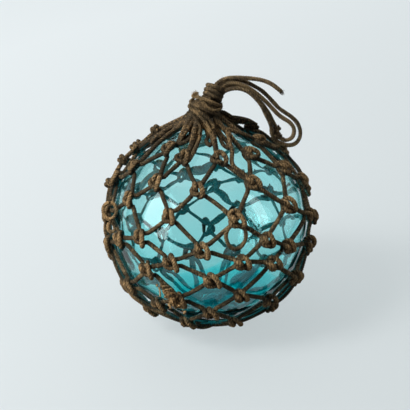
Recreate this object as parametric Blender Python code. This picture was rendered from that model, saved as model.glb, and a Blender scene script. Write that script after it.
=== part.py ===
# Glass fishing float in a knotted rope net, with a whipped neck and a rope lanyard.
# Metres, +Z up. The origin is on the ground, under the middle of the ball.

import math

import bmesh
import bpy
from mathutils import Matrix, Vector

MM = 0.001
GAP = 0.3 * MM                    # between pieces that touch

# The ball
BALL_RADIUS = 65 * MM
BALL_CENTRE = Vector((0, 0, 67 * MM))
BALL_SIDES = 30                   # around
BALL_RINGS = 15                   # from pole to pole
SEAL_RADIUS = 11 * MM             # the button that closed the blowing hole
SEAL_HEIGHT = 1.2 * MM

# The net: knots in rows of ten, each row turned half a mesh from the next
ROPE = 3.1 * MM
MESHES = 10
MESH_TURN = 360 / MESHES
NET_RADIUS = BALL_RADIUS + 2.5 * MM
ROWS = (                          # latitude and the first knot's longitude, in degrees
    (62, 12),
    (44, -4),
    (28, 15),
    (14, -4),
    (5, 14),
    (-3, -1),
    (-17, 18),
    (-29, 1),
    (-45, 18),
    (-63, 0),
    (-77, 18),                    # the start ring, which the ball stands on
)
SLIPPED = {                       # knots pulled sideways: (row, knot) and degrees
    (0, -1): -5, (0, 1): 3,
    (1, 0): -4, (1, 1): 2, (1, 2): 4,
    (2, -1): -3, (2, 1): 3,
    (3, -2): -4, (3, 2): 5,
    (4, 1): -4, (4, 0): 3,
    (5, 2): -2, (5, 0): 2,
    (7, -2): -2, (7, 1): 2,
}
LAST_ROW = len(ROWS) - 1
KNOT_REACH = 6.2 * MM             # from a knot's middle to where its bars start
KNOT_TOP = 2.8 * MM               # how far a knot's peak is cut back to a blunt top
BAR_WIDTH = 0.55 * ROPE           # half the width of a bar
LEG_WIDTH = 0.9 * ROPE            # half the width of the doubled legs to the neck
# Each place's half width against a bar's, rise of its outer ridge and rise of its edges
PLAIN = (1.0, 0.55 * ROPE, 0.0)
KNOT = (1.75, 7.4 * MM, 1.4 * MM)
RING = (1.25, 0.72 * ROPE, 0.0)
INNER_RIDGE = 0.55 * ROPE         # how far a bar reaches in from the net's radius
MERGE = 0.001 * MM
COLLAR_LATITUDE = 77.5            # where the legs run into the collar

# The collar and the neck, which leans to +X
COLLAR_SIDES = 20
COLLAR_CLEAR = 0.6 * MM           # between the ball's top and the collar's hollow underside
UNDERSIDE_RINGS = (6 * MM, 11 * MM)
COLLAR_STEPS = (                  # radius, height over the ball's middle, lean to +X
    (15.2 * MM, 64.6 * MM, 0),
    (15.4 * MM, 67.2 * MM, 0),
    (11.6 * MM, 70.0 * MM, -1.2 * MM),
    (7.6 * MM, 72.4 * MM, -2.6 * MM),
)
FLUTE = 0.06                      # depth of the grooves between the gathered strands
CORE_RADIUS = 4.3 * MM
NECK_FOOT = BALL_CENTRE + Vector((-3.5, 0, 74.5)) * MM
NECK_LEAN = math.radians(20)
NECK_LENGTH = 22.6 * MM
WHIPPING_SIDES = 14
TURN_SHAPE = ((0.2, 1.0), (0.8, 1.0), (1.0, 0.6))   # along and out from each turn's start
WHIPPINGS = {                     # start along the neck, turns, their spacing and thickness
    "neck_whipping_lower": (1.5 * MM, 4, 2.5 * MM, 4.8 * MM),
    "neck_whipping_upper": (11.8 * MM, 4, 2.6 * MM, 2.6 * MM),
}

# The lanyard: a doubled loop and a free end
LANYARD = 2.9 * MM
LANYARD_STEP = 2.6 * LANYARD      # between the points of a tube
CURVE_CUTS = 8                    # fine steps between two points of a route
# Each rope's route in millimetres from the ball's middle, from the neck on
OUTER_ROUTE = (
    (7.4, 2.6, 96.9), (9.9, 2.6, 99.4), (14.1, 2.5, 100.8), (18.9, 2.3, 100.6),
    (23.7, 2.2, 99.1), (29.1, 2.6, 96.1), (34.0, 3.0, 92.7), (37.9, 3.4, 88.9),
    (41.9, 4.0, 84.0), (45.4, 4.8, 79.8), (49.4, 5.6, 76.4), (53.9, 6.2, 72.8),
    (57.6, 6.6, 68.4), (59.5, 6.8, 63.2), (59.2, 7.0, 58.0), (56.6, 7.2, 54.0),
    (52.2, 7.2, 52.7), (47.4, 6.8, 54.3), (43.2, 5.8, 57.3), (41.0, 3.6, 62.8),
    (40.5, 2.3, 67.9), (38.8, 1.8, 72.9), (36.9, 0.4, 77.5), (35.0, -0.9, 82.0),
    (32.7, -2.3, 86.3), (29.3, -3.2, 91.0), (25.3, -3.5, 94.6), (20.4, -3.6, 96.6),
    (15.9, -3.6, 96.8), (11.6, -3.4, 95.6),
)
INNER_ROUTE = (
    (9.3, -1.0, 97.3), (12.3, -1.0, 99.3), (16.4, -1.1, 99.7), (21.2, -1.0, 98.3),
    (26.0, -0.6, 95.7), (30.4, -0.1, 92.4), (34.3, 0.4, 88.5), (38.3, 1.2, 84.2),
    (41.8, 2.0, 79.9), (44.8, 3.0, 76.2), (48.4, 4.0, 72.9), (52.2, 4.8, 70.0),
    (54.9, 5.2, 66.3), (55.4, 5.4, 62.3), (53.9, 5.6, 58.6), (50.4, 5.6, 57.0),
    (46.9, 5.5, 58.3), (44.8, 5.0, 62.4), (43.2, 4.8, 67.2), (41.3, 5.0, 71.3),
    (39.5, 4.8, 75.4), (37.0, 4.2, 79.6), (34.2, 3.2, 83.5), (30.8, 2.4, 87.5),
    (27.1, 2.0, 91.2), (22.7, 1.8, 94.5), (17.9, 1.8, 96.2), (13.5, 1.9, 96.2),
    (10.9, 1.9, 95.0),
)
FREE_END_ROUTE = (
    (5.0, -1.6, 98.3), (6.7, -1.7, 100.2), (9.2, -1.7, 102.0), (12.5, -1.6, 103.0),
    (16.4, -1.5, 103.2), (20.2, -1.4, 103.1), (24.6, -1.2, 102.7), (29.9, -1.2, 102.1),
    (34.2, -1.2, 101.2), (38.1, -1.2, 99.7), (41.5, -1.2, 97.6), (44.4, -1.2, 95.2),
    (46.8, -1.2, 93.0),
)

COLOURS = {                       # base colour and roughness
    "glass": ((0.16, 0.52, 0.55), 0.05),
    "rope": ((0.10, 0.075, 0.045), 0.85),
    "twine": ((0.085, 0.062, 0.038), 0.8),
    "lanyard": ((0.12, 0.088, 0.052), 0.85),
}


def clear_scene():
    for item in list(bpy.data.objects):
        bpy.data.objects.remove(item, do_unlink=True)


def material(name):
    if name in bpy.data.materials:
        return bpy.data.materials[name]
    made = bpy.data.materials.new(name)
    made.use_nodes = True
    shader = made.node_tree.nodes["Principled BSDF"]
    colour, roughness = COLOURS[name]
    shader.inputs["Base Color"].default_value = (*colour, 1)
    shader.inputs["Roughness"].default_value = roughness
    return made


def add_object(name, data, finish):
    data.materials.append(material(finish))
    item = bpy.data.objects.new(name, data)
    bpy.context.scene.collection.objects.link(item)
    return item


def mesh_object(name, bm, finish, sharp=50):
    bmesh.ops.remove_doubles(bm, verts=bm.verts, dist=MERGE)
    bmesh.ops.recalc_face_normals(bm, faces=bm.faces)
    mesh = bpy.data.meshes.new(name)
    bm.to_mesh(mesh)
    bm.free()
    mesh.shade_smooth()
    mesh.set_sharp_from_angle(angle=math.radians(sharp))
    return add_object(name, mesh, finish)


def helper(item):
    item.hide_render = True
    item.display_type = "WIRE"
    return item


def boolean(item, other, operation):
    step = item.modifiers.new(other.name, "BOOLEAN")
    step.operation = operation
    step.object = other
    step.solver = "EXACT"


def turned(profile, sides, middle):
    """A closed solid from an open or closed line of (radius, height) points, turned about Z."""
    bm = bmesh.new()
    line = [bm.verts.new((radius, 0, height)) for radius, height in profile]
    edges = [bm.edges.new(pair) for pair in zip(line, line[1:])]
    bmesh.ops.spin(
        bm, geom=line + edges, cent=(0, 0, 0), axis=(0, 0, 1), angle=math.tau, steps=sides
    )
    bmesh.ops.remove_doubles(bm, verts=bm.verts, dist=MERGE)
    bmesh.ops.translate(bm, verts=bm.verts, vec=middle)
    return bm


def make_ball():
    # The profile starts on the seal button at the bottom and follows the ball to the top.
    start = math.asin(SEAL_RADIUS / BALL_RADIUS)
    step = (math.pi - start) / (BALL_RINGS - 1)
    profile = [
        (0, -BALL_RADIUS - SEAL_HEIGHT),
        (SEAL_RADIUS * 0.75, -BALL_RADIUS - SEAL_HEIGHT * 0.6),
    ]
    for ring in range(BALL_RINGS):
        angle = start + ring * step
        profile.append((BALL_RADIUS * math.sin(angle), -BALL_RADIUS * math.cos(angle)))
    profile[-1] = (0, BALL_RADIUS)
    mesh_object("glass_ball", turned(profile, BALL_SIDES, BALL_CENTRE), "glass")


def on_net(latitude, longitude, radius=NET_RADIUS):
    """A point over the ball. Longitude 0 faces -Y and grows towards +X."""
    up, turn = math.radians(latitude), math.radians(longitude)
    flat = radius * math.cos(up)
    return BALL_CENTRE + Vector(
        (flat * math.sin(turn), -flat * math.cos(turn), radius * math.sin(up))
    )


def knot_place(row, column):
    latitude, first = ROWS[row]
    column = (column + MESHES // 2) % MESHES - MESHES // 2
    return on_net(latitude, first + column * MESH_TURN + SLIPPED.get((row, column), 0))


def between(start, end, share):
    """A point on the shortest line over the net from start to end."""
    a, b = start - BALL_CENTRE, end - BALL_CENTRE
    return BALL_CENTRE + a.slerp(b, share).normalized() * NET_RADIUS


class Lattice:
    """The net as flat cells on the ball: knots, the bars between them, and how thick each is."""

    def __init__(self):
        self.bm = bmesh.new()
        self.form = {}
        self.peaks = []
        self.knots = {}
        self.bars = {}

    def vertex(self, place, form, width=BAR_WIDTH):
        vert = self.bm.verts.new(place)
        share, ridge, rim = form
        self.form[vert] = (share * width, ridge, rim)
        return vert

    def knot(self, row, column):
        key = (row, column % MESHES)
        if key not in self.knots:
            if row < 0:
                place = on_net(COLLAR_LATITUDE, ROWS[0][1] + column * MESH_TURN)
                self.knots[key] = self.vertex(place, PLAIN, LEG_WIDTH)
            else:
                form = RING if row == LAST_ROW else KNOT
                self.knots[key] = self.vertex(knot_place(row, column), form)
                if form is KNOT:
                    self.peaks.append(self.knots[key])
        return self.knots[key]

    def level_point(self, a, b, row):
        """The middle of a stretch that runs level around the ball, from a to b."""
        level = (a.co.z + b.co.z) / 2
        out = (a.co + b.co) / 2 - BALL_CENTRE
        out.z = 0
        reach = math.sqrt(NET_RADIUS**2 - (level - BALL_CENTRE.z) ** 2)
        middle = Vector((BALL_CENTRE.x, BALL_CENTRE.y, level)) + out.normalized() * reach
        return self.vertex(middle, RING if row == LAST_ROW else PLAIN)

    def bar(self, start, end):
        """The points between two knots, in order from start to end."""
        a, b = self.knot(*start), self.knot(*end)
        key = frozenset((a, b))
        if key not in self.bars:
            if start[0] == end[0]:
                points = [self.level_point(a, b, start[0])]
            else:
                width = LEG_WIDTH if min(start[0], end[0]) < 0 else BAR_WIDTH
                reach = KNOT_REACH / (a.co - b.co).length
                points = []
                for share in (reach, 1 - reach):
                    points.append(self.vertex(between(a.co, b.co, share), PLAIN, width))
            self.bars[key] = (a, points)
        first, points = self.bars[key]
        return points if first is a else points[::-1]

    def cell(self, *corners):
        loop = []
        for start, end in zip(corners, corners[1:] + corners[:1]):
            loop.append(self.knot(*start))
            loop.extend(self.bar(start, end))
        self.bm.faces.new(loop)


def make_cells(net):
    for column in range(MESHES):
        # An even row lies half a mesh to +X of the odd row after it.
        net.cell((-1, column), (0, column), (1, column + 1), (0, column + 1), (-1, column + 1))
        for row in range(LAST_ROW - 1):
            left = column - row % 2
            net.cell((row, column), (row + 1, left), (row + 2, column), (row + 1, left + 1))
        net.cell((LAST_ROW - 1, column), (LAST_ROW, column - 1), (LAST_ROW, column))
    net.cell(*[(LAST_ROW, column) for column in range(MESHES)])
    net.cell(*[(-1, -column) for column in range(MESHES)])


def outward(point):
    return (point - BALL_CENTRE).normalized()


def make_lattice():
    net = Lattice()
    make_cells(net)
    bm = net.bm
    bmesh.ops.recalc_face_normals(bm, faces=bm.faces)
    ridges = list(bm.verts)
    cells = list(bm.faces)
    bmesh.ops.inset_individual(bm, faces=cells, thickness=BAR_WIDTH, use_even_offset=True)
    bmesh.ops.delete(bm, geom=cells, context="FACES")
    shape_edges(net, ridges)
    copy = bmesh.ops.duplicate(bm, geom=bm.verts[:] + bm.edges[:] + bm.faces[:])
    inner = {old: new for old, new in copy["vert_map"].items() if old in net.form}
    copied = [part for part in copy["geom"] if isinstance(part, bmesh.types.BMFace)]
    bmesh.ops.reverse_faces(bm, faces=copied)
    for vert in ridges:
        ridge = net.form[vert][1]
        inner[vert].co -= outward(vert.co) * INNER_RIDGE
        vert.co += outward(vert.co) * ridge
    bmesh.ops.remove_doubles(bm, verts=bm.verts, dist=MERGE)
    bmesh.ops.bevel(bm, geom=net.peaks, offset=KNOT_TOP, segments=1, affect="VERTICES")
    return bm


def shape_edges(net, ridges):
    """Gives each bar and knot its own width by moving the cells' new edges."""
    known = set(ridges)
    for vert in ridges:
        width, _, rise = net.form[vert]
        for edge in vert.link_edges:
            rim = edge.other_vert(vert)
            if rim in known:
                continue
            place = vert.co + (rim.co - vert.co) * (width / BAR_WIDTH)
            rim.co = BALL_CENTRE + outward(place) * (NET_RADIUS + rise)


def ring_points(radius, sides, flute=0.0):
    """A ring whose odd points lie in the grooves between the strands."""
    points = []
    for step in range(sides):
        reach = radius * (1 - flute * (step % 2))
        points.append(Matrix.Rotation(math.tau * step / sides, 3, "Z") @ Vector((reach, 0, 0)))
    return points


def neck_matrix(along):
    """Stands on the neck's axis, that far from its foot, with +Z along the neck."""
    tilt = Matrix.Rotation(NECK_LEAN, 4, "Y")
    return Matrix.Translation(NECK_FOOT) @ tilt @ Matrix.Translation((0, 0, along))


def make_collar():
    """The gathered strands: a fluted bell over the ball's top, drawn up into the neck."""
    bm = bmesh.new()
    loops = []
    underside = BALL_RADIUS + COLLAR_CLEAR
    for radius in UNDERSIDE_RINGS:
        middle = BALL_CENTRE + Vector((0, 0, math.sqrt(underside**2 - radius**2)))
        loops.append([middle + point for point in ring_points(radius, COLLAR_SIDES)])
    for radius, height, lean in COLLAR_STEPS:
        middle = BALL_CENTRE + Vector((lean, 0, height))
        loops.append([middle + point for point in ring_points(radius, COLLAR_SIDES, FLUTE)])
    for along in (0, NECK_LENGTH):
        place = neck_matrix(along)
        loops.append([place @ point for point in ring_points(CORE_RADIUS, COLLAR_SIDES)])
    rings = [[bm.verts.new(point) for point in loop] for loop in loops]
    for low, high in zip(rings, rings[1:]):
        for step in range(COLLAR_SIDES):
            after = (step + 1) % COLLAR_SIDES
            bm.faces.new((low[step], low[after], high[after], high[step]))
    bm.faces.new(rings[-1])
    crown = bm.verts.new(BALL_CENTRE + Vector((0, 0, underside)))
    for step in range(COLLAR_SIDES):
        bm.faces.new((crown, rings[0][(step + 1) % COLLAR_SIDES], rings[0][step]))
    return helper(mesh_object("collar_join", bm, "rope"))


def make_net():
    net = mesh_object("rope_net", make_lattice(), "rope")
    boolean(net, make_collar(), "UNION")
    ground = bmesh.new()
    size = 4 * BALL_RADIUS
    bmesh.ops.create_cube(ground, size=size)
    bmesh.ops.translate(ground, verts=ground.verts, vec=(0, 0, -size / 2))
    boolean(net, helper(mesh_object("ground_cut", ground, "rope")), "DIFFERENCE")


def make_whipping(name, start, turns, pitch, thickness):
    """Turns of twine around the neck, as one ridged sleeve."""
    inner = CORE_RADIUS + GAP
    profile = [(inner, turns * pitch), (inner, 0)]
    for turn in range(turns):
        for share, reach in TURN_SHAPE:
            profile.append((inner + thickness * reach, (turn + share) * pitch))
    profile.append(profile[0])
    bm = turned(profile, WHIPPING_SIDES, (0, 0, 0))
    bmesh.ops.transform(bm, matrix=neck_matrix(start), verts=bm.verts)
    mesh_object(name, bm, "twine")


def smooth_route(points, step):
    """Points a step apart on a smooth curve through the route's own points."""
    ends = [points[0] * 2 - points[1], *points, points[-1] * 2 - points[-2]]
    fine = []
    for a, b, c, d in zip(ends, ends[1:], ends[2:], ends[3:]):
        for cut in range(CURVE_CUTS):
            share = cut / CURVE_CUTS
            bend = (b * 2 + (c - a) * share + (a * 2 - b * 5 + c * 4 - d) * share**2
                    + (b * 3 - a - c * 3 + d) * share**3)
            fine.append(bend / 2)
    fine.append(points[-1])
    lengths = [0.0]
    for a, b in zip(fine, fine[1:]):
        lengths.append(lengths[-1] + (b - a).length)
    count = round(lengths[-1] / step)
    found, at = [], 0
    for stop in range(count + 1):
        goal = lengths[-1] * stop / count
        while at < len(fine) - 2 and lengths[at + 1] < goal:
            at += 1
        share = (goal - lengths[at]) / (lengths[at + 1] - lengths[at])
        found.append(fine[at].lerp(fine[at + 1], min(share, 1)))
    return found


def make_cord(name, points):
    curve = bpy.data.curves.new(name, "CURVE")
    curve.dimensions = "3D"
    curve.bevel_depth = LANYARD / 2
    curve.bevel_resolution = 2
    curve.use_fill_caps = True
    line = curve.splines.new("POLY")
    line.points.add(len(points) - 1)
    for vert, point in zip(line.points, points):
        vert.co = (*point, 1)
    add_object(name, curve, "lanyard")


def make_lanyard():
    routes = {
        "lanyard_loop_outer": OUTER_ROUTE,
        "lanyard_loop_inner": INNER_ROUTE,
        "lanyard_free_end": FREE_END_ROUTE,
    }
    for name, route in routes.items():
        stops = [Vector(stop) * MM + BALL_CENTRE for stop in route]
        make_cord(name, smooth_route(stops, LANYARD_STEP))


def main():
    clear_scene()
    make_ball()
    make_net()
    for name, sizes in WHIPPINGS.items():
        make_whipping(name, *sizes)
    make_lanyard()


main()
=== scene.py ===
import math

import bpy
import numpy as np
from mathutils import Matrix, Vector
from mathutils import noise as field


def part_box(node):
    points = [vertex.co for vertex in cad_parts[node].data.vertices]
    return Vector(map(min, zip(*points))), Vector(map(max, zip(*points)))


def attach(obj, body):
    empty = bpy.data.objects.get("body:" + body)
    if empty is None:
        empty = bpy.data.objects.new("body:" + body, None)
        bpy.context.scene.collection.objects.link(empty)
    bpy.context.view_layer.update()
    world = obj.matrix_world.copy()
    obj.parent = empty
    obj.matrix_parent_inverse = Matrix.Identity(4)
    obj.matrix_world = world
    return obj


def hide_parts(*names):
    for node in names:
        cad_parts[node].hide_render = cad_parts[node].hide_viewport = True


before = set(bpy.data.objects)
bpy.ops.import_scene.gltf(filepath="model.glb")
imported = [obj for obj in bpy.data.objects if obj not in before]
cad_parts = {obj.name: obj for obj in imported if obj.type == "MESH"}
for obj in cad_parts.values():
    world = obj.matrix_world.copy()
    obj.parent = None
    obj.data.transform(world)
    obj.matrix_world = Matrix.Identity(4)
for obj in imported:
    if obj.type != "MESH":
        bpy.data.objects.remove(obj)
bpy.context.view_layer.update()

mm = 0.001
chance = np.random.default_rng(41)

# the frame gives the ball's middle and size
ballLow, ballHigh = [np.array(corner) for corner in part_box("glass_ball")]
ballRadius = (ballHigh[0] - ballLow[0]) / 2
ballCentre = np.array((0, 0, ballHigh[2] - ballRadius))
ballMiddle = Vector(ballCentre)


class Wire:  # a node's output that works in Python expressions
    def __init__(self, owner, socket):
        self.owner = owner
        self.socket = socket

    def sum(self, operation, *values):
        return self.owner.node("ShaderNodeMath", {"operation": operation}, dict(enumerate(values)))

    def __add__(self, other):
        return self.sum("ADD", self, other)

    def __sub__(self, other):
        return self.sum("SUBTRACT", self, other)

    def __mul__(self, other):
        return self.sum("MULTIPLY", self, other)

    def __rsub__(self, other):
        return self.sum("SUBTRACT", other, self)

    __radd__ = __add__
    __rmul__ = __mul__

    def limit(self):
        return self.owner.node("ShaderNodeClamp", {}, {0: self})


class Nodes:  # makes the nodes of one tree
    def __init__(self, tree):
        self.tree = tree

    def node(self, kind, settings, feeds, out=0):
        made = self.tree.nodes.new(kind)
        for key, value in settings.items():
            setattr(made, key, value)
        for key, value in feeds.items():
            self.feed(made.inputs[key], value)
        return Wire(self, made.outputs[out])

    def feed(self, socket, value):
        if isinstance(value, Wire):
            self.tree.links.new(value.socket, socket)
        else:
            socket.default_value = (*value, 1) if socket.type == "RGBA" else value

    def split(self, vector):
        parted = self.node("ShaderNodeSeparateXYZ", {}, {0: vector})
        return [Wire(self, socket) for socket in parted.socket.node.outputs]

    def vector(self, operation, *values, out="Vector"):
        return self.node("ShaderNodeVectorMath", {"operation": operation}, dict(enumerate(values)), out)

    def noise(self, vector, scale, detail, rough):
        feeds = {"Vector": vector, "Scale": scale, "Detail": detail, "Roughness": rough}
        return self.node("ShaderNodeTexNoise", {}, feeds, "Fac")

    def step(self, value, low, high):
        feeds = {"Value": value, "From Min": low, "From Max": high}
        return self.node("ShaderNodeMapRange", {"interpolation_type": "SMOOTHSTEP"}, feeds)

    def mix(self, share, one, other):
        return self.node("ShaderNodeMix", {"data_type": "RGBA"}, {0: share, 6: one, 7: other}, 2)


class Finish(Nodes):  # one material
    def __init__(self, name, **plain):
        self.material = bpy.data.materials.new(name)
        self.material.use_nodes = True
        super().__init__(self.material.node_tree)
        self.shader = self.tree.nodes["Principled BSDF"]
        for key, value in plain.items():
            self.give(key.replace("_", " "), value)

    def give(self, socket, value):
        self.feed(self.shader.inputs[socket], value)

    def place(self):
        return self.node("ShaderNodeTexCoord", {}, {}, "Object")

    def attribute(self, name, out="Fac"):
        return self.node("ShaderNodeAttribute", {"attribute_name": name}, {}, out)

    def bump(self, height, depth, strength):
        feeds = {"Height": height, "Distance": depth, "Strength": strength}
        self.give("Normal", self.node("ShaderNodeBump", {}, feeds, "Normal"))


view = {
    "distance": 820 * mm,
    "elevation": 27,
    "lens": 108,
    "aim": (-3.0 * mm, 5.6 * mm, 11.0 * mm),  # from the ball's middle
    "roll": -1,
}


def aimed(name, data, spot, look):
    # a camera or a lamp at a spot, with the way it looks
    made = bpy.data.objects.new(name, data)
    made.matrix_world = Matrix.Translation(spot) @ look.to_track_quat("-Z", "Y").to_matrix().to_4x4()
    bpy.context.scene.collection.objects.link(made)
    return made


def makeCamera():
    lean = math.radians(view["elevation"])
    stand = ballMiddle + Vector((0, -math.cos(lean), math.sin(lean))) * view["distance"]
    data = bpy.data.cameras.new("camera")
    data.lens = view["lens"]
    camera = aimed("camera", data, stand, ballMiddle + Vector(view["aim"]) - stand)
    camera.matrix_world = camera.matrix_world @ Matrix.Rotation(math.radians(view["roll"]), 4, "Z")
    bpy.context.scene.camera = camera
    print("camera set")


rope = {
    "diameter": 3.1 * mm,
    "lay": 4.7 * mm,  # length of one full turn of a strand
    "strands": 3,
    "section": (0.60, 0.90, 1, 1, 0.90),  # radius from one groove over a strand
    "groove": 0.55,  # depth of the grooves between the strands, 1 is new rope
    "grooveShade": 1.6,  # how fast the grooves get darker with their depth
    "spin": (9 * mm, 0.35),  # how often the lay wanders, and by what share of a turn
    "uneven": (4 * mm, 0.08),  # how often the thickness wanders, and by what share
    "swell": (0.14, 4.2 * mm, 2.5 * mm),  # a knot's outer, worn bends: share, height off the glass, over
    "step": 0.64 * mm,
    "clear": 0.02 * mm,  # how far ropes stay off the ground
    "patternStart": 5,  # a rope's pattern starts up to this many m along
}
hair = {
    "rings": 4,
    "sides": 3,
    "curl": 0.45,  # as a share of the length
    "lengths": (0.4, 1.3),  # shortest and longest, as shares of the given length
    "taper": 0.8,  # how much thinner the tip is
    "crown": 0.8,
    "shades": 0.25,  # lighter or darker by this
    "clear": 0.05 * mm,
}
curveSteps = 12  # between two given points of a curve


def unit(vectors):
    return vectors / np.linalg.norm(vectors, axis=-1, keepdims=True)


def fromMiddle(route):
    # a place or a route that is given in mm from the ball's middle
    return np.array(route) * mm + ballCentre


def distances(points):
    steps = np.linalg.norm(np.diff(points, axis=0)[:, :3], axis=1)
    return np.concatenate(((0,), np.cumsum(steps)))


def smoothLine(points, step=rope["step"]):
    # points a step apart on a smooth curve through the given ones
    points = np.asarray(points, float)
    ends = np.vstack((2 * points[0] - points[1], points, 2 * points[-1] - points[-2]))
    a, b, c, d = ends[:-3, None], ends[1:-2, None], ends[2:-1, None], ends[3:, None]
    t = np.linspace(0, 1, curveSteps, endpoint=False)[None, :, None]
    fine = (2 * b + (c - a) * t + (2 * a - 5 * b + 4 * c - d) * t**2 + (3 * b - a - 3 * c + d) * t**3) / 2
    return spaced(np.vstack((fine.reshape(-1, points.shape[1]), points[-1:])), step)


def spaced(points, step=rope["step"]):
    far = distances(points)
    count = max(round(far[-1] / step), 2)
    stops = np.linspace(0, far[-1], count + 1)
    return np.stack([np.interp(stops, far, column) for column in points.T], axis=1)


def eased(points, rounds):
    # takes the kinks out of a line and keeps its ends
    points = points.copy()
    for _ in range(rounds):
        points[1:-1] = points[1:-1] / 2 + (points[:-2] + points[2:]) / 4
    return points


def sideways(points):
    # two directions square to the line at each point, carried along without twist
    along = unit(np.gradient(points, axis=0))
    start = np.eye(3)[np.argmin(np.abs(along[0]))]
    sides = [unit(np.cross(along[0], start))]
    for way in along[1:]:
        sides.append(unit(sides[-1] - way * np.dot(sides[-1], way)))
    sides = np.array(sides)
    return sides, np.cross(along, sides)


class RopeMesh:  # gathers laid ropes into one mesh
    def __init__(self):
        self.verts = []
        self.faces = []
        self.layers = {"crown": [], "shade": [], "yarn": []}
        self.corners = []
        self.lines = []
        self.count = 0

    def add(self, points, diameter, shade=0.5, taper=1, groove=rope["groove"]):
        radius = diameter / 2
        lay = rope["lay"] * diameter / rope["diameter"]
        section = 1 - (1 - np.tile(rope["section"], rope["strands"])) * groove
        rings, sides = len(points), len(section)
        far = distances(points)
        one, two = sideways(points)
        spin = self.wander(far, *rope["spin"])
        uneven = self.wander(far, *rope["uneven"])
        start = chance.uniform(0, math.tau)
        angle = math.tau * (np.arange(sides) / sides + (far / lay + spin)[:, None]) + start
        reach = radius * section * ((1 + uneven) * taper)[:, None]
        way = one[:, None] * np.cos(angle)[..., None] + two[:, None] * np.sin(angle)[..., None]
        verts = points[:, None] + way * reach[..., None]
        verts[..., 2] = np.maximum(verts[..., 2], rope["clear"])
        crown = (section - min(section)) / (max(section) - min(section))
        crown = 1 - (1 - crown) * min(groove * rope["grooveShade"], 1)  # shallow grooves are darkened less, and bleaching and wear spread more evenly
        along = np.broadcast_to(far[:, None] + chance.uniform(0, rope["patternStart"]), angle.shape)
        yarn = np.stack((np.cos(angle) * radius, np.sin(angle) * radius, along), axis=-1)
        self.lines.append((points, radius))
        self.store(verts, np.tile(crown, rings), np.repeat(np.broadcast_to(shade, rings), sides), yarn)
        self.wrap(far, sides, diameter)

    def store(self, verts, crown, shade, yarn):
        self.verts.append(verts.reshape(-1, 3))
        self.layers["crown"].append(crown)
        self.layers["shade"].append(shade)
        self.layers["yarn"].append(yarn.reshape(-1, 3))

    def wander(self, far, stretch, amount):
        stops = np.arange(0, far[-1] + 2 * stretch, stretch)
        return np.interp(far, stops, chance.uniform(-1, 1, len(stops)) * amount)

    def wrap(self, far, sides, diameter):
        # faces between the rings and a cap at each end, with their corners on the rope's own map
        rings = len(far)
        ring, side = np.meshgrid(np.arange(rings - 1), np.arange(sides), indexing="ij")
        after = (side + 1) % sides
        quads = np.stack((ring * sides + side, ring * sides + after,
                          (ring + 1) * sides + after, (ring + 1) * sides + side), axis=-1)
        self.faces.extend((quads.reshape(-1, 4) + self.count).tolist())
        width = math.pi * diameter / sides
        across = np.stack((side, side + 1, side + 1, side), axis=-1) * width
        length = far[np.stack((ring, ring, ring + 1, ring + 1), axis=-1)]
        self.corners.append(np.stack((length, across), axis=-1).reshape(-1, 2))
        for base, turn in ((0, -1), ((rings - 1) * sides, 1)):
            cap = [self.count + base + corner for corner in range(sides)]
            self.faces.append(cap[::turn])
            self.corners.append(np.zeros((sides, 2)))
        self.count += rings * sides

    def addHairs(self, roots, ways, length, width, shade):
        # thin tapered fibres that curl away from their roots
        count, rings, sides = len(roots), hair["rings"], hair["sides"]
        ways = unit(ways)
        curl = chance.normal(0, hair["curl"], (count, 3))
        sizes = (length * chance.uniform(*hair["lengths"], count))[:, None, None]
        share = (np.arange(rings) / (rings - 1))[None, :, None]
        middles = roots[:, None] + (ways[:, None] * share + curl[:, None] * share**2) * sizes
        side = unit(np.cross(ways, chance.normal(0, 1, (count, 3))))
        other = np.cross(ways, side)
        turn = math.tau * np.arange(sides) / sides
        ring = side[:, None] * np.cos(turn)[None, :, None] + other[:, None] * np.sin(turn)[None, :, None]
        thin = width / 2 * (1 - hair["taper"] * share)
        verts = middles[:, :, None] + ring[:, None] * thin[..., None]
        verts[..., 2] = np.maximum(verts[..., 2], hair["clear"])
        each = rings * sides
        shades = shade + chance.uniform(-1, 1, count) * hair["shades"]
        self.store(verts, np.full(count * each, hair["crown"]), np.repeat(shades, each), verts)
        for _ in range(count):
            self.wrap(np.zeros(rings), sides, 0)

    def finish(self, name, finish):
        mesh = bpy.data.meshes.new(name)
        mesh.from_pydata(np.vstack(self.verts).tolist(), [], self.faces)
        mesh.uv_layers.new(name="UVMap").data.foreach_set("uv", np.vstack(self.corners).ravel())
        for layer, parts in self.layers.items():
            kind, key = ("FLOAT_VECTOR", "vector") if layer == "yarn" else ("FLOAT", "value")
            kept = mesh.attributes.new(layer, kind, "POINT")
            kept.data.foreach_set(key, np.concatenate(parts).ravel())
        mesh.shade_smooth()
        mesh.materials.append(finish.material)
        piece = bpy.data.objects.new(name, mesh)
        bpy.context.scene.collection.objects.link(piece)
        print(name, sum(len(face) - 2 for face in self.faces), "triangles")
        return piece


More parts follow.
